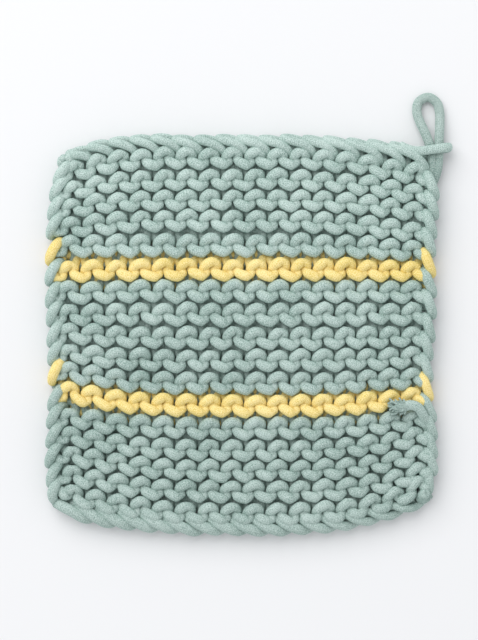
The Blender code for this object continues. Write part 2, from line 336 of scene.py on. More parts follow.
# The flattened strand that is wrapped round the loop's legs.
BAND_ROUTE = (
    # across, along, height
    (78.5, 86.6, 6.4),
    (82.3, 84.6, 8.9),
    (86.4, 83.6, 10.3),
    (91.5, 83.9, 10.7),
    (96.8, 84.7, 10.8),
    (101.2, 85.4, 10.0),
    (103.3, 85.7, 7.6),
    (103.4, 85.7, 4.8),
    (101.6, 85.4, 2.4),
    (97.0, 84.8, 1.8),
    (91.5, 84.2, 1.9),
    (86.6, 83.4, 3.0),
    (82.0, 83.0, 5.2),
)
BAND_WIDTH = 4.7
BAND_THICKNESS = 3.5

# The cut end of green cord that leaves the right edge below the lower stripe, and lies over the
# ridge beside it.
TAIL_ROUTE = (
    # across, along, height
    (91.9, -58.4, 7.6),
    (90.8, -54.8, 10.8),
    (89.1, -50.9, 13.2),
    (86.8, -47.8, 14.5),
    (83.6, -46.6, 14.9),
    (80.6, -47.0, 14.7),
)
# How much wider the tail's end is spread, and how much flatter it lies.
TAIL_SPREAD = 0.10
TAIL_FLATTENING = 0.25

# The tail's frayed plies: they start a little inside its cut end, within a share of its radius,
# and reach, drift aside, curl and sink so far.
PLIES = 100
PLY_DIAMETER = 0.9
PLY_START = -1.5
PLY_SECTION = (0.85, 0.68)
PLY_SHORTEST = 0.15
PLY_RINGS = 15
PLY_REACH = 10.5
PLY_DRIFT = 3.2
PLY_CURL = 0.9
PLY_SINK = 1.0
# The waves of a ply's curl to the side and upwards, in radians along it, and which way its rings
# are held.
PLY_WAVES = (7, 6)
PLY_FACING = (0.1, 0.2, 1.0)


# ---- places --------------------------------------------------------------------------------------

def ridge_value(column, ridge):
    """Read one column of the ridge table at any ridge, with straight lines between its rows."""
    values = [row[column] for row in RIDGE_TABLE]
    return np.interp(ridge, range(len(values)), values)


def right_edge(ridge):
    """Find the knit's right edge, which steps in twice at the loop's corner."""
    levels, edges = zip(*NOTCH_TABLE)
    beside_loop = np.interp(ridge, levels, edges)
    return np.where(ridge < NOTCH_END, beside_loop, ridge_value(RIGHT_EDGE, ridge))


def span_value(column, ridge):
    """Read one column of the span table at any ridge."""
    return np.interp(ridge, [row[0] for row in SPAN_TABLE], [row[column] for row in SPAN_TABLE])


def stitch_x(stitch, ridge):
    """Place a stitch across: first + (last - first) s + push sin(pi s), where s is its share."""
    share = stitch / (STITCHES - 1)
    first = span_value(FIRST_STITCH, ridge)
    last = span_value(LAST_STITCH, ridge)
    return first + (last - first) * share + span_value(PUSH, ridge) * np.sin(math.pi * share)


def ridge_y(x, ridge):
    """Place a ridge along: its middle less fall (|x| / half span) ^ power, each side its own."""
    down = ridge / (RIDGES + 1)
    power_left = LEFT_FALL_POWER[0] + (LEFT_FALL_POWER[1] - LEFT_FALL_POWER[0]) * down
    power_right = RIGHT_FALL_POWER[0] + (RIGHT_FALL_POWER[1] - RIGHT_FALL_POWER[0]) * down
    outward = np.minimum(np.abs(x), FALL_REACH) / HALF_SPAN
    fall_left = ridge_value(LEFT_FALL, ridge) * outward ** power_left
    fall_right = ridge_value(RIGHT_FALL, ridge) * outward ** power_right
    return ridge_value(MIDDLE, ridge) - np.where(x < 0, fall_left, fall_right)


def lattice(stitch, ridge):
    """Turn stitch and ridge counts into x and y, in millimetres.

    Full stitches are centred on 0 to 15. From -0.5 to -1 and from 15.5 to 16 the count runs over
    the edge stitch, out to the knit's left and right edge, where the ridges fall no further.
    """
    ridge = np.clip(ridge, 0, RIDGES + 1)
    x = stitch_x(np.clip(stitch, -HALF_STITCH, STITCHES - HALF_STITCH), ridge)
    left_share = np.clip(-HALF_STITCH - stitch, 0, HALF_STITCH) / HALF_STITCH
    right_share = np.clip(stitch - (STITCHES - HALF_STITCH), 0, HALF_STITCH) / HALF_STITCH
    x = x + (ridge_value(LEFT_EDGE, ridge) - x) * left_share
    x = x + (right_edge(ridge) - x) * right_share
    return x, ridge_y(x, ridge)


def cord_points(x, y, height, cord):
    """Join x and y in millimetres and a height in cord diameters from the knit's middle."""
    middle = KNIT_THICKNESS / MM / 2
    return np.stack(np.broadcast_arrays(x, y, middle + height * cord), axis=-1)


# ---- curves and skins ----------------------------------------------------------------------------

def unit(vectors):
    """Scale every vector of an array to length one."""
    return vectors / np.linalg.norm(vectors, axis=-1, keepdims=True)


def smooth_curve(points, steps):
    """Carry a Catmull-Rom curve through every row of points of an array.

    Between p1 and p2, with t from 0 to 1, it is half of 2 p1 + (p2 - p0) t
    + (2 p0 - 5 p1 + 4 p2 - p3) t^2 + (3 p1 - p0 - 3 p2 + p3) t^3.
    """
    points = np.asarray(points, dtype=float)
    before = 2 * points[..., :1, :] - points[..., 1:2, :]
    after = 2 * points[..., -1:, :] - points[..., -2:-1, :]
    points = np.concatenate((before, points, after), axis=-2)[..., None, :]
    p0, p1, p2, p3 = (points[..., start:start - 3 or None, :, :] for start in range(4))
    t = np.arange(steps)[:, None] / steps
    bend = 2 * p0 - 5 * p1 + 4 * p2 - p3
    twist = 3 * p1 - p0 - 3 * p2 + p3
    curve = (2 * p1 + (p2 - p0) * t + bend * t ** 2 + twist * t ** 3) / 2
    curve = curve.reshape(*curve.shape[:-3], -1, 3)
    return np.concatenate((curve, p2[..., -1, :, :]), axis=-2)


def wobble(random, position, rows):
    """Give each row smooth random values between -1 and 1, a new one at each whole position.

    Between two of them it goes as 3 f^2 - 2 f^3 of the fraction f.
    """
    start = math.floor(position.min())
    values = random.uniform(-1, 1, (rows, math.ceil(position.max()) - start + 2))
    index = np.floor(position).astype(int) - start
    fraction = position - np.floor(position)
    blend = fraction ** 2 * (3 - 2 * fraction)
    return values[:, index] * (1 - blend) + values[:, index + 1] * blend


class Strands:
    """Cords gathered into one piece: points, four-sided faces, end caps and cord coordinates."""

    def __init__(self, sides):
        self.sides = sides
        self.points = []
        self.faces = []
        self.coordinates = []
        self.painted_shades = []
        self.count = 0

    def add(self, paths, width, thickness, hint, shade=0.0):
        """Sweep an oval along every path, all paths at once.

        A point is path + (width cos a) across / 2 + (thickness sin a) over / 2, where across is
        square to the path and to the hint, and over is square to both. The oval shrinks where the
        path bends too tightly for it. Its coordinates are the distance along the cord in metres,
        and the turn round it from 0 to 1. The shade, from 0 to 1, is painted shade: how far its
        colour is darkened, as where it lies inside the knit.
        """
        along = unit(np.gradient(paths, axis=1))
        spacing = np.linalg.norm(np.gradient(paths, axis=1), axis=-1)
        bend = np.linalg.norm(np.gradient(along, axis=1), axis=-1) / spacing
        tightness = np.maximum(bend * np.asarray(width) / 2, SLIGHTEST_BEND)
        slim = np.minimum(1, TIGHTEST_BEND / tightness)
        across = unit(np.cross(hint, along))
        over = np.cross(along, across)
        turn = np.arange(self.sides) / self.sides
        angle = (turn * TURN)[:, None]
        half_width = (width * slim)[..., None, None] / 2
        half_thickness = (thickness * slim)[..., None, None] / 2
        rings = (paths[:, :, None, :] + half_width * np.cos(angle) * across[:, :, None, :]
                 + half_thickness * np.sin(angle) * over[:, :, None, :])
        step = np.linalg.norm(np.diff(paths, axis=1), axis=-1)
        distance = np.concatenate((np.zeros((len(paths), 1)), np.cumsum(step, axis=1)), axis=1)

        index = self.count + np.arange(rings[..., 0].size).reshape(rings.shape[:-1])
        after = np.roll(index, -1, axis=2)
        sides = np.stack((index[:, :-1], after[:, :-1], after[:, 1:], index[:, 1:]), axis=-1)
        u = np.broadcast_to(distance[:, :, None] * MM, index.shape)
        v = np.broadcast_to(turn, index.shape)
        v_after = v + 1 / self.sides
        uv = np.stack((np.stack((u[:, :-1], u[:, :-1], u[:, 1:], u[:, 1:]), axis=-1),
                       np.stack((v[:, :-1], v_after[:, :-1], v_after[:, 1:], v[:, 1:]), axis=-1)),
                      axis=-1)
        self.points.append(rings.reshape(-1, 3) * MM)
        self.painted_shades.append(np.broadcast_to(np.asarray(shade)[..., None], index.shape).ravel())
        self.faces += sides.reshape(-1, 4).tolist()
        self.coordinates.append(uv.reshape(-1, 2))
        for ring, flip in ((0, -1), (-1, 1)):
            self.faces += index[:, ring, ::flip].tolist()
            cap = np.stack((u[:, ring, ::flip], v[:, ring, ::flip]), axis=-1)
            self.coordinates.append(cap.reshape(-1, 2))
        self.count += index.size

    def piece(self, name, material, slot, nodes):
        """Make the piece, put it in the frame, and let it stand for the solids it covers, if any."""
        mesh = bpy.data.meshes.new(name)
        mesh.from_pydata(np.concatenate(self.points), [], self.faces)
        layer = mesh.uv_layers.new(name="cord")
        layer.uv.foreach_set("vector", np.concatenate(self.coordinates).astype(np.float32).ravel())
        # The painted shade of every point, for the cord's material.
        depth = mesh.attributes.new("inside", "FLOAT", "POINT")
        depth.data.foreach_set("value", np.concatenate(self.painted_shades).astype(np.float32))
        mesh.shade_smooth()
        mesh.materials.append(material)
        thing = bpy.data.objects.new(name, mesh)
        bpy.context.scene.collection.objects.link(thing)
        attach(thing, "root")
        if nodes:
            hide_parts(*nodes)
        return thing


# ---- the knit ------------------------------------------------------------------------------------

def share_between(value, limits):
    """Find how far a value is from the first of two limits to the second, from 0 to 1."""
    start, end = limits
    return np.clip((value - start) / (end - start), 0, 1)


def knit_rows(strands, ridges, from_back, form, random):
    """Knit one row of loops for every ridge named, each row a single cord.

    With a turn t of 2 pi to a stitch: across = t / 2 pi + overhang sin 2t, along = rise (cos t
    - flatness cos 3t) + lean sin 2t where the cord is on the face, and height = depth (cos t
    - dip sin^2 t). A row knitted from the back has its height and its lean turned over, and lies
    higher up, so its sinkers come out on the ridge's face over the feet of the heads. The cord's
    painted shade inside the knit is sin^6 t.
    """
    rows = len(ridges)
    reach = math.pi + form.row_end
    turn = np.linspace(-reach, (STITCHES - 1) * TURN + reach, STITCHES * form.steps)
    half_stitches = turn / math.pi

    def uneven(amount):
        return amount * form.unevenness * wobble(random, half_stitches, rows)

    flip = -1 if from_back else 1
    level = form.sinker_drop - form.rise if from_back else form.rise - form.head_lift
    overhang = form.sinker_overhang if from_back else form.head_overhang
    first = share_between(np.abs(turn), (math.pi, 0))
    from_middle = np.abs(turn / TURN - (STITCHES - 1) / 2)
    ends = share_between(from_middle, (STITCHES / 2 - NARROW_LENGTH, STITCHES / 2))
    narrowing = (1 - FIRST_NARROWING * first) * (1 - END_NARROWING * ends)
    overhang = (overhang + uneven(UNEVEN_OVERHANG)) * narrowing
    across = turn / TURN + overhang * np.sin(2 * turn) + uneven(UNEVEN_ACROSS)

    flatness = form.sinker_flatness if from_back else form.head_flatness
    rise = form.rise * (1 + uneven(UNEVEN_RISE))
    along = rise * (np.cos(turn) - flatness * np.cos(3 * turn))
    on_face = (1 + flip * np.cos(turn)) / 2
    lean = -form.sinker_lean if from_back else form.head_lean
    lean = (lean + uneven(UNEVEN_LEAN)) * on_face
    along = along + lean * np.sin(2 * turn) + uneven(UNEVEN_ALONG)

    depth = form.depth * (1 - np.abs(uneven(UNEVEN_DEPTH)))
    dip = form.dip + flip * form.tuck
    height = depth * (flip * np.cos(turn) - dip * np.sin(turn) ** 2)
    right_dive = np.interp(ridges, *zip(*RIGHT_DIVE))[:, None]
    past_end = np.maximum(LEFT_DIVE - across, across - right_dive) / DIVE_LENGTH
    past_end = np.clip(past_end, 0, 1)
    height = height * (1 - past_end) + DIVE_HEIGHT * past_end

    last_ridge = (np.array(ridges) == RIDGES)[:, None]
    left_lift = LEFT_CORNER_LIFT * share_between(across, LEFT_CORNER)
    right_lift = RIGHT_CORNER_LIFT * share_between(across, RIGHT_CORNER) ** 3
    lift = last_ridge * (left_lift + right_lift)
    x, y = lattice(across, np.array(ridges)[:, None] + level - lift - along)
    swell = 1 + form.swell * (FACE_SWELL - np.sin(turn) ** 2) + uneven(UNEVEN_SWELL)
    # The inside value is painted shade: the legs, which run down through the knit, get the most.
    inside = np.broadcast_to(np.sin(turn) ** 6, swell.shape)
    strands.add(cord_points(x, y, height, form.cord), form.cord * swell, form.cord * swell,
                (0.0, 0.0, 1.0), inside)


def link_offsets(random, count, amount):
    """Give each of a number of links a small shift of its own, the same at all its points."""
    return random.uniform(-amount, amount, (count, 1, 3))


def edge_links(strands, ridges, right, form, random):
    """Clip one link of its side's table round the edge for every ridge named.

    A right link's insets past half a cord are scaled by its reach, and its width by the root
    of it.
    """
    table = np.array(RIGHT_LINK if right else LEFT_LINK)
    shifts = link_offsets(random, len(ridges), UNEVEN_LINK * form.unevenness)
    curve = smooth_curve(table + shifts, form.link_steps)
    height = curve[..., 2]
    sideways = 1 if right else -1
    lines = ridge_y(sideways * FALL_REACH, np.arange(RIDGES + 2))
    line = np.interp(ridges, range(RIDGES + 2), lines)[:, None]
    y = np.minimum(line + curve[..., 1] * form.cord, lines[0] - form.cord)
    level = np.interp(-y, -lines, range(RIDGES + 2))
    width = form.cord * (LINK_WIDTH + LINK_SWELL * np.clip(height, 0, 1))
    if right:
        reach = np.interp(ridges, *zip(*LINK_REACH))[:, None]
        inset = HALF_CORD + (curve[..., 0] - HALF_CORD) * reach
        height = height - LINK_LOWERING * (1 - reach) * np.clip(height, 0, 1)
        width = width * np.sqrt(reach)
        x = ridge_value(RIGHT_EDGE, np.maximum(level, NOTCH_END)) - inset * form.cord
    else:
        x = ridge_value(LEFT_EDGE, level) + curve[..., 0] * form.cord
    outward, upward = LINK_FACING
    strands.add(cord_points(x, y, height, form.cord), width, width,
                (outward, upward * sideways, 0.0))


def table_links(strands, table, stitches, leftmost, drift, width, form, random):
    """Lay one link of a table at every stitch named, placed by the lattice.

    A link is pushed across by drift (1 - stitch / stitches), and stops at leftmost. The width is
    in cords, one for all the links or one for each.
    """
    shifts = link_offsets(random, len(stitches), UNEVEN_STRAND * form.unevenness)
    curve = smooth_curve(np.array(table) + shifts, form.link_steps)
    places = np.array(stitches)[:, None]
    across = np.maximum(curve[..., 0] + places + drift * (1 - places / STITCHES), leftmost)
    x, y = lattice(across, curve[..., 1])
    width = form.cord * width * np.ones_like(x)
    strands.add(cord_points(x, y, curve[..., 2], form.cord), width, width, (0.0, 1.0, 0.0))


def corner_end(strands):
    """Stand the cast-on's cut end up in its corner.

    Its tip is rounded: the width goes as sqrt(1 + tip - share ^ rounding), where share is how far
    along the path a ring is, from 0 to 1.
    """
    path = smooth_curve([CORNER_END], STRAND_STEPS)
    share = np.linspace(0, 1, path.shape[1])[None, :]
    width = CORNER_END_WIDTH * np.sqrt(1 + CORNER_END_TIP - share ** CORNER_END_ROUNDING)
    strands.add(path, width, width, (0.0, 1.0, 0.0))


def knit_band(first, last, form, random):
    """Knit the ridges from first to last, with the links at both their ends."""
    strands = Strands(form.sides)
    ridges = list(range(first, last + 1))
    knit_rows(strands, ridges, False, form, random)
    knit_rows(strands, ridges, True, form, random)
    corner = [LAST_LINK] if last == RIDGES else []
    edge_links(strands, ridges + corner, False, form, random)
    edge_links(strands, [ridge for ridge in ridges if ridge >= NOTCH_END], True, form, random)
    return strands


# ---- shader maths --------------------------------------------------------------------------------

class Value:
    """A shader socket that Python's operators work on, each adding a Math node."""

    def __init__(self, graph, socket):
        self.graph = graph
        self.socket = socket

    def maths(self, operation, *numbers):
        return self.graph.node("ShaderNodeMath", {"operation": operation},
                               dict(enumerate(numbers)))

    def __add__(self, other):
        return self.maths("ADD", self, other)

    def __sub__(self, other):
        return self.maths("SUBTRACT", self, other)

    def __rsub__(self, other):
        return self.maths("SUBTRACT", other, self)

    def __mul__(self, other):
        return self.maths("MULTIPLY", self, other)

    def __pow__(self, other):
        return self.maths("POWER", self, other)

    def __abs__(self):
        return self.maths("ABSOLUTE", self)

    __radd__ = __add__
    __rmul__ = __mul__

    def fraction(self):
        return self.maths("FRACT", self)

    def sine(self):
        return self.maths("SINE", self)


class Graph:
    """A material's node tree, and the one method that adds nodes to it."""

    def __init__(self, name):
        self.material = bpy.data.materials.new(name)
        self.material.use_nodes = True
        self.tree = self.material.node_tree
        self.shader = self.tree.nodes["Principled BSDF"]

    def node(self, kind, settings, inputs, output=0):
        """Add a node, set its settings, then its sockets, and hand back one of its outputs."""
        node = self.tree.nodes.new(kind)
        for setting, value in settings.items():
            setattr(node, setting, value)
        for socket, value in inputs.items():
            self.feed(node.inputs[socket], value)
        return Value(self, node.outputs[output])

    def feed(self, socket, value):
        """Link a value to a socket, or set a plain number or colour on it."""
        if isinstance(value, Value):
            self.tree.links.new(value.socket, socket)
        else:
            socket.default_value = value

    def mix(self, share, first, second):
        """Mix two colours."""
        return self.node("ShaderNodeMix", {"data_type": "RGBA"},
                         {"Factor": share, 6: first, 7: second}, 2)

    def noise(self, vector, scale, detail):
        """Read a noise texture's value."""
        return self.node("ShaderNodeTexNoise", {},
                         {"Vector": vector, "Scale": scale, "Detail": detail})


# ---- the cord's material -------------------------------------------------------------------------

# How deep the V shapes of the cord's own stitches are, in radians of their sine, how many clouds
# of tone there are to a metre, and the tones where the flecks are darkest and palest.
CHEVRON_DEPTH = 2.6
CLOUDS = 55.0
DARKEST_TONE = 0.39
PALEST_TONE = 0.56

# How much of the cord's colour is left in the dark tone that is mixed into it: painted shade
# inside the knit, and a darkening towards the cast-on edge.
SHADOW = 0.1

# Where the green starts to darken towards the cast-on edge, and where it is darkest, in metres.
FADE_FROM = 0.055
FADE_TO = -0.045


def shade(colour, factor):
    """Darken or lighten a colour, and give it the alpha that sockets want."""
    return (*(min(1.0, channel * factor) for channel in colour), 1.0)


def cotton_cord(name, colour, contrast, painted_depth_shade, fade, look):
    """Tubular knitted cotton: rows of tiny stitches round the cord, heathered with flecks.

    The stitches are V shapes, sin (2 pi distance / stitch length + depth o), where o is how far
    off the middle of its column a place is, and the grooves between columns are o cubed. The
    flecks, the finer fibres and the wide clouds are noise, and give most of the tone.
    """
    graph = Graph(name)
    cord_uv = graph.node("ShaderNodeUVMap", {"uv_map": "cord"}, {})
    distance = graph.node("ShaderNodeSeparateXYZ", {}, {0: cord_uv})
    turn = graph.node("ShaderNodeSeparateXYZ", {}, {0: cord_uv}, 1)
    place = graph.node("ShaderNodeTexCoord", {}, {}, "Object")

    off_middle = abs((turn * look.columns).fraction() - 0.5) * 2
    chevron = (distance * (TURN / look.stitch_length) + off_middle * CHEVRON_DEPTH).sine()
    groove = off_middle ** 3
    fleck = graph.noise(place, 1 / look.fleck_size, 2.0)
    fibre = graph.noise(place, 3 / look.fleck_size, 3.0)
    cloud = graph.noise(place, CLOUDS, 2.0)

    tone = fleck * 0.62 + fibre * 0.22 + cloud * 0.16
    # Painted light and shade: the cord's own stitches are a little lighter where their relief stands
    # high and darker in the grooves between columns.
    tone = tone + chevron * 0.02 - groove * 0.04
    ramp = graph.node("ShaderNodeMapRange", {"clamp": True},
                      {"Value": tone, "From Min": DARKEST_TONE, "From Max": PALEST_TONE})
    # The inside attribute carries painted shade: by it the cord's colour is mixed towards a dark
    # tone inside the knit.
    inside = graph.node("ShaderNodeAttribute", {"attribute_name": "inside"}, {}, "Fac")
    pale = [channel + (1 - channel) * contrast for channel in colour]
    heather = graph.mix(ramp, shade(colour, 1 - contrast), shade(pale, 1.0))
    with_painted_shade = graph.mix(inside * painted_depth_shade, heather, shade(colour, SHADOW))
    along = graph.node("ShaderNodeSeparateXYZ", {}, {0: place}, 1)
    down = graph.node("ShaderNodeMapRange", {"clamp": True},
                      {"Value": along, "From Min": FADE_FROM, "From Max": FADE_TO})
    faded = graph.mix(down * fade, with_painted_shade, shade(colour, SHADOW))
    graph.feed(graph.shader.inputs["Base Color"], faded)
    graph.feed(graph.shader.inputs["Roughness"], 0.84 + fleck * 0.12)

    relief = chevron * 0.35 - groove * 0.4 + fibre * 0.9 + fleck * 0.5
    bump = graph.node("ShaderNodeBump", {},
                      {"Strength": 0.8, "Distance": look.relief, "Height": relief})
    graph.feed(graph.shader.inputs["Normal"], bump)
    graph.shader.inputs["Metallic"].default_value = 0.0
    graph.shader.inputs["Specular IOR Level"].default_value = 0.25
    graph.shader.inputs["Sheen Weight"].default_value = look.sheen
    graph.shader.inputs["Sheen Roughness"].default_value = 0.6
    graph.shader.inputs["Sheen Tint"].default_value = shade(colour, 1.8)
    return graph.material


def cord_material(name):
    """Find a cord's material, or make it from the cord's colour and look."""
    look = bpy.context.scene.pot_holder_cord
    colour, contrast, painted_depth_shade, fade = {
        "green_cord": (look.green, look.contrast, look.painted_depth_shade, look.fade),
        "yellow_cord": (look.yellow, look.yellow_contrast, look.yellow_painted_depth_shade, 0.0),
    }[name]
    made = bpy.data.materials.get(name)
    return made or cotton_cord(name, tuple(colour), contrast, painted_depth_shade, fade, look)


# ---- properties ----------------------------------------------------------------------------------

class KnitForm(bpy.types.PropertyGroup):
    """The form of the knit's loops."""

    diameter: bpy.props.FloatProperty(
        name="Cord diameter", description="Thickness of the knitted cord",
        default=KNIT_THICKNESS / CORDS_THICK, min=0.001, unit="LENGTH", subtype="DISTANCE")
    head_overhang: bpy.props.FloatProperty(
        name="Head overhang", description="How far out a head's ends reach, in stitches",
        default=0.15)
    sinker_overhang: bpy.props.FloatProperty(
        name="Sinker overhang", description="How far out a sinker's ends reach, in stitches",
        default=0.19)
    rise: bpy.props.FloatProperty(
        name="Rise", description="Half a loop's height, in ridges", default=0.50)
    head_lift: bpy.props.FloatProperty(
        name="Head lift", description="Height of a loop's head over its ridge's line, in ridges",
        default=0.23)
    sinker_drop: bpy.props.FloatProperty(
        name="Sinker drop", description="Depth of a sinker under its ridge's line, in ridges",
        default=0.36)
    head_flatness: bpy.props.FloatProperty(
        name="Head flatness", description="How flat the heads are, as a share of the rise",
        default=-0.01)
    sinker_flatness: bpy.props.FloatProperty(
        name="Sinker flatness", description="How flat the sinkers are, as a share of the rise",
        default=0.05)
    head_lean: bpy.props.FloatProperty(
        name="Head lean", description="How far a head's right end stands up, in ridges",
        default=0.08)
    sinker_lean: bpy.props.FloatProperty(
        name="Sinker lean", description="How far a sinker's left end stands up, in ridges",
        default=0.10)
    depth: bpy.props.FloatProperty(
        name="Depth", description="Height of a head over the knit's middle, in cord diameters",
        default=0.775)
    dip: bpy.props.FloatProperty(
        name="Dip", description="How far the legs lie below the middle, as a share of the depth",
        default=0.20, subtype="FACTOR", min=0.0, max=1.0)
    tuck: bpy.props.FloatProperty(
        name="Tuck", description="How far heads dive under sinkers, as a share of the depth",
        default=0.20, subtype="FACTOR", min=0.0, max=1.0)
    swell: bpy.props.FloatProperty(
        name="Swell", description="How much thicker the cord is on the faces than in its legs",
        default=0.20, subtype="FACTOR", min=0.0, max=1.0)
    row_end: bpy.props.FloatProperty(
        name="Row end", description="How far a row runs on past its last sinker",
        default=0.55, subtype="ANGLE")
    unevenness: bpy.props.FloatProperty(
        name="Unevenness", description="How much the stitches differ", default=1.0, min=0.0)
    steps: bpy.props.IntProperty(
        name="Steps", description="Rings to a stitch", default=30, min=8)
    link_steps: bpy.props.IntProperty(
        name="Link steps", description="Rings between two points of a link", default=4, min=1)
    sides: bpy.props.IntProperty(
        name="Sides", description="Sides of a cord's ring", default=14, min=6)

    @property
    def cord(self):
        """The cord's diameter in millimetres."""
        return self.diameter / MM


class CordLook(bpy.types.PropertyGroup):
    """The cord's colours and texture."""

    green: bpy.props.FloatVectorProperty(
        name="Green", description="Colour of the main cord", default=(0.345, 0.527, 0.463),
        subtype="COLOR", min=0.0, max=1.0)
    yellow: bpy.props.FloatVectorProperty(
        name="Yellow", description="Colour of the stripes' cord", default=(1.000, 0.750, 0.178),
        subtype="COLOR", min=0.0, max=1.0)
    contrast: bpy.props.FloatProperty(
        name="Contrast", description="How much the green flecks differ from the cord's colour",
        default=0.38, subtype="FACTOR", min=0.0, max=1.0)
    yellow_contrast: bpy.props.FloatProperty(
        name="Yellow contrast", description="How much the yellow flecks differ in colour",
        default=0.27, subtype="FACTOR", min=0.0, max=1.0)
    # Painted shade on the green cord inside the knit.
    painted_depth_shade: bpy.props.FloatProperty(
        name="Depth shade", description="How much the green cord darkens inside the knit",
        default=0.32, subtype="FACTOR", min=0.0, max=1.0)
    # Painted shade on the yellow cord inside the knit, none by default.
    yellow_painted_depth_shade: bpy.props.FloatProperty(
        name="Yellow depth shade", description="How much the yellow darkens inside the knit",
        default=0.00, subtype="FACTOR", min=0.0, max=1.0)
    fade: bpy.props.FloatProperty(
        name="Fade", description="How much the green darkens towards the cast-on edge",
        default=0.12, subtype="FACTOR", min=0.0, max=1.0)
    fleck_size: bpy.props.FloatProperty(
        name="Fleck size", description="Size of the cord's flecks", default=0.00045,
        unit="LENGTH", subtype="DISTANCE")
    columns: bpy.props.IntProperty(
        name="Columns", description="Columns of tiny stitches round the cord", default=14)
    stitch_length: bpy.props.FloatProperty(
        name="Stitch length", description="Length of the cord's own tiny stitches",
        default=0.0010, unit="LENGTH", subtype="DISTANCE")
    relief: bpy.props.FloatProperty(
        name="Relief", description="Height of the cord's own stitches", default=0.00016,
        unit="LENGTH", subtype="DISTANCE")
    sheen: bpy.props.FloatProperty(
        name="Sheen", description="Strength of the cotton's soft bloom", default=0.25,
        subtype="FACTOR", min=0.0, max=1.0)


class StageLook(bpy.types.PropertyGroup):
    """The floor, the lights and the camera."""

    floor: bpy.props.FloatVectorProperty(
        name="Floor", description="Colour of the floor", default=(0.80, 0.80, 0.81),
        subtype="COLOR", min=0.0, max=1.0)
    floor_size: bpy.props.FloatProperty(
        name="Floor size", description="Side of the square floor", default=4.0,
        unit="LENGTH", subtype="DISTANCE")
    key: bpy.props.FloatProperty(
        name="Key light", description="Power of the soft light from the upper left",
        default=38.0, unit="POWER")
    key_place: bpy.props.FloatVectorProperty(
        name="Key place", description="Where the soft light hangs", default=(-0.85, 1.3, 1.75),
        unit="LENGTH")
    key_size: bpy.props.FloatProperty(
        name="Key size", description="Side of the square soft light", default=2.1,
        unit="LENGTH", subtype="DISTANCE")
    sky: bpy.props.FloatProperty(
        name="Sky", description="Strength of the even light from all round", default=0.78)
    sky_colour: bpy.props.FloatVectorProperty(
        name="Sky colour", description="Colour of the even light", default=(0.97, 0.985, 1.0),
        subtype="COLOR", min=0.0, max=1.0)
    camera_height: bpy.props.FloatProperty(
        name="Camera height", description="Height of the camera over the floor", default=1.1,
        unit="LENGTH", subtype="DISTANCE")
    view_height: bpy.props.FloatProperty(
        name="View height", description="Length of what the camera sees, top to bottom",
        default=0.3274, unit="LENGTH", subtype="DISTANCE")
    view_centre: bpy.props.FloatVectorProperty(
        name="View centre", description="Where the camera looks", size=2,
        default=(-0.0046, -0.0031), unit="LENGTH")


# ---- operators -----------------------------------------------------------------------------------

class POTHOLDER_OT_green_knit(bpy.types.Operator):
    """Knit the three green bands, with the cast-on rope and the bound-off chain."""

    bl_idname = "potholder.green_knit"
    bl_label = "Green Knit"

    def execute(self, context):
        form = context.scene.pot_holder_knit
        material = cord_material("green_cord")
        for number, (first, last) in enumerate(GREEN_BANDS, start=1):
            random = np.random.default_rng(GREEN_SEED + number)
            band = knit_band(first, last, form, random)
            if first == 1:
                table_links(band, CHAIN_LINK, range(STITCHES), CHAIN_LEFT, CHAIN_DRIFT,
                            CHAIN_WIDTH, form, random)
            if last == RIDGES:
                width = np.interp(ROPE_STARTS, *zip(*ROPE_WIDTHS))[:, None]
                table_links(band, ROPE_STRAND, ROPE_STARTS, ROPE_LEFT, 0.0, width, form, random)
                corner_end(band)
            piece = band.piece(f"green_knit_{number}", material, "sage_cotton", ["knit_panel"])
        return {"FINISHED"}


class POTHOLDER_OT_yellow_stripes(bpy.types.Operator):
    """Knit the two yellow ridges."""

    bl_idname = "potholder.yellow_stripes"
    bl_label = "Yellow Stripes"

    def execute(self, context):
        form = context.scene.pot_holder_knit
        material = cord_material("yellow_cord")
        for number, (first, last) in enumerate(YELLOW_BANDS, start=1):
            random = np.random.default_rng(YELLOW_SEED + number)
            band = knit_band(first, last, form, random)
            piece = band.piece(f"yellow_stripe_{number}", material, "yellow_cotton",
                               ["knit_panel"])
        return {"FINISHED"}


class POTHOLDER_OT_hanging_loop(bpy.types.Operator):
    """Bend the hanging loop's cord along its route."""

    bl_idname = "potholder.hanging_loop"
    bl_label = "Hanging Loop"

    def execute(self, context):
        strands = Strands(2 * context.scene.pot_holder_knit.sides)
        path = smooth_curve([LOOP_ROUTE], LOOP_STEPS)
        # The loop's cord gets painted shade, as if it lay inside the knit.
        strands.add(path, LOOP_WIDTH, LOOP_THICKNESS, (0.0, 0.0, 1.0), LOOP_PAINTED_SHADE)
        piece = strands.piece("loop_cord", cord_material("green_cord"), "sage_cotton",
                              ["hanging_loop"])
        return {"FINISHED"}


class POTHOLDER_OT_loop_band(bpy.types.Operator):
    """Wrap the strand that leaves the bound-off chain round the loop's legs."""

    bl_idname = "potholder.loop_band"
    bl_label = "Loop Band"

    def execute(self, context):
        strands = Strands(2 * context.scene.pot_holder_knit.sides)
        path = smooth_curve([BAND_ROUTE], STRAND_STEPS)
        strands.add(path, BAND_THICKNESS, BAND_WIDTH, (0.0, 1.0, 0.0))
        strands.piece("loop_wrap", cord_material("green_cord"), "sage_cotton", ["loop_band"])
        return {"FINISHED"}


class POTHOLDER_OT_yarn_tail(bpy.types.Operator):
    """Lay the cut end of green cord over the lower stripe, with its plies frayed apart."""

    bl_idname = "potholder.yarn_tail"
    bl_label = "Yarn Tail"

    def execute(self, context):
        form = context.scene.pot_holder_knit
        strands = Strands(form.sides)
        path = smooth_curve([TAIL_ROUTE], STRAND_STEPS)
        share = np.linspace(0, 1, path.shape[1])[None, :]
        width = form.cord * (1 + TAIL_SPREAD * share)
        thickness = form.cord * (1 - TAIL_FLATTENING * share ** 3)
        strands.add(path, width, thickness, (0.0, 0.0, 1.0))
        fray(strands, path[0, -1], unit(path[0, -1] - path[0, -4]), form,
             np.random.default_rng(FRAY_SEED))
        strands.piece("yarn_tail", cord_material("green_cord"), "sage_cotton", [])
        return {"FINISHED"}


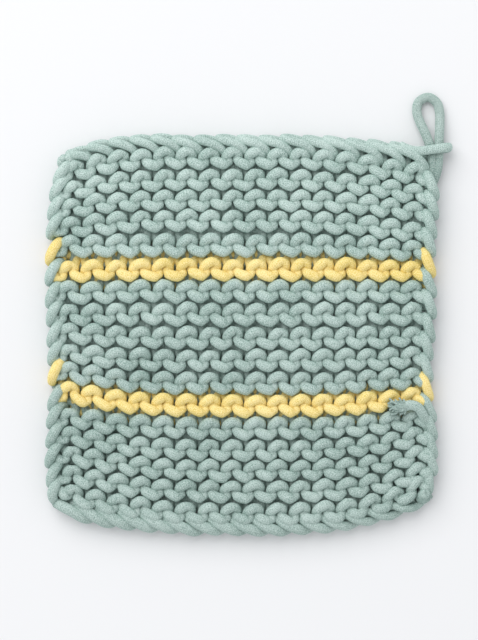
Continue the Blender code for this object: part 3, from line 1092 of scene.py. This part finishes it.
def fray(strands, end, heading, form, random):
    """Spread thin plies out of a cord's cut end.

    A ply starts at a place on the cord's section, at radius R sqrt(s) and its own angle, and runs
    forward by its reach while it drifts aside and sinks as the square of the way, and curls as a
    sine and a cosine of it.
    """
    sideways = unit(np.cross(heading, (0.0, 0.0, 1.0)))
    upward = np.cross(sideways, heading)
    angle = random.uniform(0, TURN, (PLIES, 1, 1))
    radius = form.cord / 2 * np.sqrt(random.uniform(0, 1, (PLIES, 1, 1)))
    wide, high = PLY_SECTION
    section = radius * (wide * np.cos(angle) * sideways + high * np.sin(angle) * upward)
    t = np.linspace(0, 1, PLY_RINGS)[None, :, None]
    reach = PLY_REACH * random.uniform(PLY_SHORTEST, 1.0, (PLIES, 1, 1))
    phase = random.uniform(0, TURN, (PLIES, 1, 1))
    drift = random.uniform(-1, 1, (PLIES, 1, 1)) * sideways * PLY_DRIFT
    aside, up = PLY_WAVES
    curl = PLY_CURL * (np.sin(aside * t + phase) * sideways + np.cos(up * t + phase) * upward)
    path = end + section + heading * (reach * t + PLY_START) + drift * t ** 2 + curl * t
    sink = (0.0, 0.0, PLY_SINK) * t ** 2
    strands.add(path - sink, PLY_DIAMETER, PLY_DIAMETER, PLY_FACING)


class POTHOLDER_OT_stage(bpy.types.Operator):
    """Set out the floor, the soft lights and the camera straight above."""

    bl_idname = "potholder.stage"
    bl_label = "Stage"

    def execute(self, context):
        look = context.scene.pot_holder_stage
        floor(look)
        soft_light("key_light", look.key_place, look.key_size, look.key)
        sky(look)
        overhead_camera(context.scene, look)
        context.scene.view_settings.view_transform = "Standard"
        return {"FINISHED"}


def floor(look):
    """Lay a plain pale floor under the pot holder."""
    half = look.floor_size / 2
    mesh = bpy.data.meshes.new("floor")
    corners = [(-half, -half, 0), (half, -half, 0), (half, half, 0), (-half, half, 0)]
    mesh.from_pydata(corners, [], [(0, 1, 2, 3)])
    graph = Graph("pale_floor")
    graph.feed(graph.shader.inputs["Base Color"], (*look.floor, 1.0))
    graph.feed(graph.shader.inputs["Roughness"], 0.9)
    mesh.materials.append(graph.material)
    thing = bpy.data.objects.new("floor", mesh)
    bpy.context.scene.collection.objects.link(thing)
    return thing


def soft_light(name, place, size, power):
    """Hang a square soft light that faces the pot holder."""
    lamp = bpy.data.lights.new(name, "AREA")
    lamp.size = size
    lamp.energy = power
    thing = bpy.data.objects.new(name, lamp)
    thing.location = place
    thing.rotation_euler = (-thing.location).to_track_quat("-Z", "Y").to_euler()
    bpy.context.scene.collection.objects.link(thing)


def sky(look):
    """Light the scene evenly from all round."""
    world = bpy.data.worlds.new("pale_sky")
    world.use_nodes = True
    background = world.node_tree.nodes["Background"]
    background.inputs["Color"].default_value = (*look.sky_colour, 1.0)
    background.inputs["Strength"].default_value = look.sky
    bpy.context.scene.world = world


def overhead_camera(scene, look):
    """Look straight down, with a lens that takes in the view's height at the knit's face."""
    camera = bpy.data.cameras.new("camera")
    distance = look.camera_height - KNIT_HIGH[2]
    camera.lens = camera.sensor_width * distance / look.view_height
    thing = bpy.data.objects.new("camera", camera)
    thing.location = (*look.view_centre, look.camera_height)
    scene.collection.objects.link(thing)
    scene.camera = thing


# ---- panel and registration ----------------------------------------------------------------------

STEPS = (
    POTHOLDER_OT_green_knit,
    POTHOLDER_OT_yellow_stripes,
    POTHOLDER_OT_hanging_loop,
    POTHOLDER_OT_loop_band,
    POTHOLDER_OT_yarn_tail,
    POTHOLDER_OT_stage,
)


class POTHOLDER_PT_panel(bpy.types.Panel):
    """List the pot holder's settings and its steps in order."""

    bl_idname = "POTHOLDER_PT_panel"
    bl_label = "Pot Holder"
    bl_space_type = "VIEW_3D"
    bl_region_type = "UI"
    bl_category = "Pot Holder"

    def draw(self, context):
        scene = context.scene
        for group in (scene.pot_holder_knit, scene.pot_holder_cord, scene.pot_holder_stage):
            box = self.layout.box()
            for setting in group.bl_rna.properties:
                if setting.is_runtime:
                    box.prop(group, setting.identifier)
        for step in STEPS:
            self.layout.operator(step.bl_idname)


GROUPS = {"pot_holder_knit": KnitForm, "pot_holder_cord": CordLook, "pot_holder_stage": StageLook}


def register():
    for kind in (*GROUPS.values(), *STEPS, POTHOLDER_PT_panel):
        bpy.utils.register_class(kind)
    for name, group in GROUPS.items():
        setattr(bpy.types.Scene, name, bpy.props.PointerProperty(type=group))


def unregister():
    for name in GROUPS:
        delattr(bpy.types.Scene, name)
    for kind in (POTHOLDER_PT_panel, *reversed(STEPS), *GROUPS.values()):
        bpy.utils.unregister_class(kind)


def main():
    register()
    for step in STEPS:
        group, name = step.bl_idname.split(".")
        getattr(getattr(bpy.ops, group), name)()


if __name__ == "__main__":
    main()
